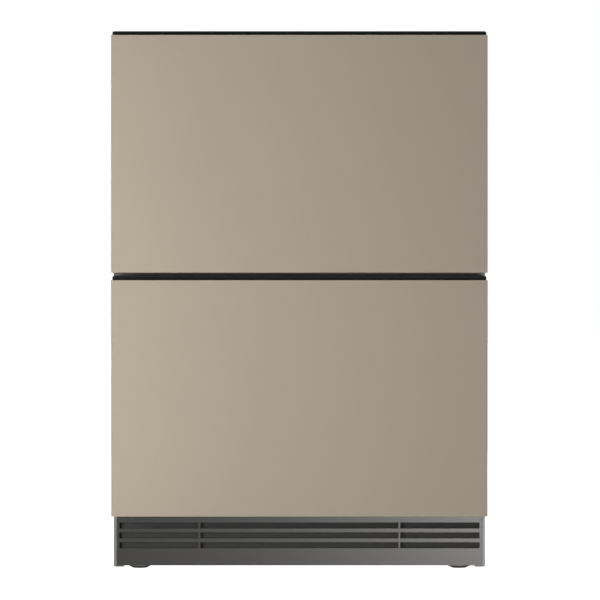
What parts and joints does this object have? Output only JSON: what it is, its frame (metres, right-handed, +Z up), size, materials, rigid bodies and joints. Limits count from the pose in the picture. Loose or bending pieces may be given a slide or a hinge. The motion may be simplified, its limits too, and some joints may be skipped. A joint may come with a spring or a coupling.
{
  "type": "undercounter drawer refrigerator",
  "caption": "Undercounter refrigerator with two full-width insulated drawers behind flat overlay panels, a louvred toe grille and levelling feet.",
  "frame": {"origin": "middle of the footprint, on the floor", "axes": "+Z up, the drawers open towards -Y, +X to the right of a person who faces the drawers"},
  "size_m": [0.6064, 0.608, 0.873],
  "materials": {
    "cabinet_sheet": "satin dark grey paint",
    "galvanised": "dull zinc-coated steel",
    "liner": "white moulded plastic",
    "foam": "hard foam, hidden",
    "overlay": "satin tan lacquer",
    "cap": "black moulded plastic",
    "front_sheet": "satin black paint",
    "gasket": "soft grey vinyl",
    "bin": "brushed",
    "slide": "bright zinc",
    "aluminium_fins": "bare",
    "copper": "bare copper tube",
    "cover_plastic": "white",
    "control_plastic": "fine grain, dark grey",
    "board": "green circuit board",
    "button": "silver grey",
    "probe": "white",
    "light": "milky",
    "compressor": "black enamel",
    "mount_rubber": "black",
    "black_plastic": "black",
    "condenser": "black paint on steel",
    "motor": "grey",
    "fan": "black",
    "drain": "light grey",
    "base_paint": "metallic grey, satin",
    "rail_paint": "light metallic grey, satin",
    "filter": "dark grey mesh",
    "screw": "zinc",
    "foot": "zinc, over a dark glide"
  },
  "bodies": {
    "cabinet": {"side_panel_left": "cabinet_sheet", "side_panel_right": "cabinet_sheet", "top_panel": "cabinet_sheet", "back_panel": "galvanised", "floor_panel": "galvanised", "machine_housing": "galvanised", "insulation": "foam", "inner_liner": "liner", "mullion": "cabinet_sheet", "outer_slide_rails": "slide", "evaporator_coil": "aluminium_fins", "evaporator_cover": "cover_plastic", "evaporator_fan_motor": "motor", "light_bar": "light", "control_housing": "control_plastic", "control_board": "board", "temperature_probe": "probe", "compressor": "compressor", "compressor_mounts": "mount_rubber", "terminal_cover": "black_plastic", "condenser_coil": "condenser", "condenser_shroud": "galvanised", "condenser_fan_motor": "motor", "refrigerant_lines": "copper", "condensate_drain": "drain", "base_pan": "galvanised", "base_frame": "rail_paint", "toe_grille": "base_paint", "air_filter": "filter", "rear_cover": "galvanised", "junction_box": "galvanised", "power_gland": "black_plastic", "cabinet_screws": "screw"},
    "upper_drawer": {"upper_overlay_panel": "overlay", "upper_top_cap": "cap", "upper_front_shell": "front_sheet", "upper_front_foam": "foam", "upper_front_liner": "liner", "upper_gasket": "gasket", "upper_bin": "bin", "upper_inner_rails": "slide"},
    "lower_drawer": {"lower_overlay_panel": "overlay", "lower_top_cap": "cap", "lower_front_shell": "front_sheet", "lower_front_foam": "foam", "lower_front_liner": "liner", "lower_gasket": "gasket", "lower_bin": "bin", "lower_inner_rails": "slide"},
    "upper_slides": {"upper_middle_rails": "slide"},
    "lower_slides": {"lower_middle_rails": "slide"},
    "evaporator_rotor": {"evaporator_fan": "fan"},
    "condenser_rotor": {"condenser_fan": "fan"},
    "power_key": {"button_power": "button"},
    "cooler_key": {"button_cooler": "button"},
    "warmer_key": {"button_warmer": "button"},
    "front_left_foot": {"foot_front_left": "foot"},
    "front_right_foot": {"foot_front_right": "foot"},
    "rear_left_foot": {"foot_rear_left": "foot"},
    "rear_right_foot": {"foot_rear_right": "foot"}
  },
  "joints": [
    {"name": "upper_drawer_out", "type": "slide", "parent": "cabinet", "child": "upper_drawer", "axis": [0, -1, 0], "range_m": [0, 0.42]},
    {"name": "lower_drawer_out", "type": "slide", "parent": "cabinet", "child": "lower_drawer", "axis": [0, -1, 0], "range_m": [0, 0.29]},
    {"name": "upper_slides_out", "type": "slide", "parent": "cabinet", "child": "upper_slides", "axis": [0, -1, 0], "range_m": [0, 0.21]},
    {"name": "lower_slides_out", "type": "slide", "parent": "cabinet", "child": "lower_slides", "axis": [0, -1, 0], "range_m": [0, 0.145]},
    {"name": "evaporator_fan_turn", "type": "hinge", "parent": "cabinet", "child": "evaporator_rotor", "pos_m": [0, 0.0905, 0.44625], "axis": [0, 1, 0], "continuous": true},
    {"name": "condenser_fan_turn", "type": "hinge", "parent": "cabinet", "child": "condenser_rotor", "pos_m": [-0.07625, 0.20175, 0.1445], "axis": [1, 0, 0], "continuous": true},
    {"name": "power_press", "type": "slide", "parent": "cabinet", "child": "power_key", "axis": [0, 1, 0], "range_m": [0, 0.0008], "stiffness_N_per_m": 600, "springref_m": -0.0005},
    {"name": "cooler_press", "type": "slide", "parent": "cabinet", "child": "cooler_key", "axis": [0, 1, 0], "range_m": [0, 0.0008], "stiffness_N_per_m": 600, "springref_m": -0.0005},
    {"name": "warmer_press", "type": "slide", "parent": "cabinet", "child": "warmer_key", "axis": [0, 1, 0], "range_m": [0, 0.0008], "stiffness_N_per_m": 600, "springref_m": -0.0005},
    {"name": "front_left_foot_down", "type": "slide", "parent": "cabinet", "child": "front_left_foot", "axis": [0, 0, -1], "range_m": [0, 0.025]},
    {"name": "front_right_foot_down", "type": "slide", "parent": "cabinet", "child": "front_right_foot", "axis": [0, 0, -1], "range_m": [0, 0.025]},
    {"name": "rear_left_foot_down", "type": "slide", "parent": "cabinet", "child": "rear_left_foot", "axis": [0, 0, -1], "range_m": [0, 0.025]},
    {"name": "rear_right_foot_down", "type": "slide", "parent": "cabinet", "child": "rear_right_foot", "axis": [0, 0, -1], "range_m": [0, 0.025]}
  ],
  "couplings": [
    {"joint": "upper_slides_out", "follows": "upper_drawer_out", "ratio": 0.5},
    {"joint": "lower_slides_out", "follows": "lower_drawer_out", "ratio": 0.5}
  ]
}
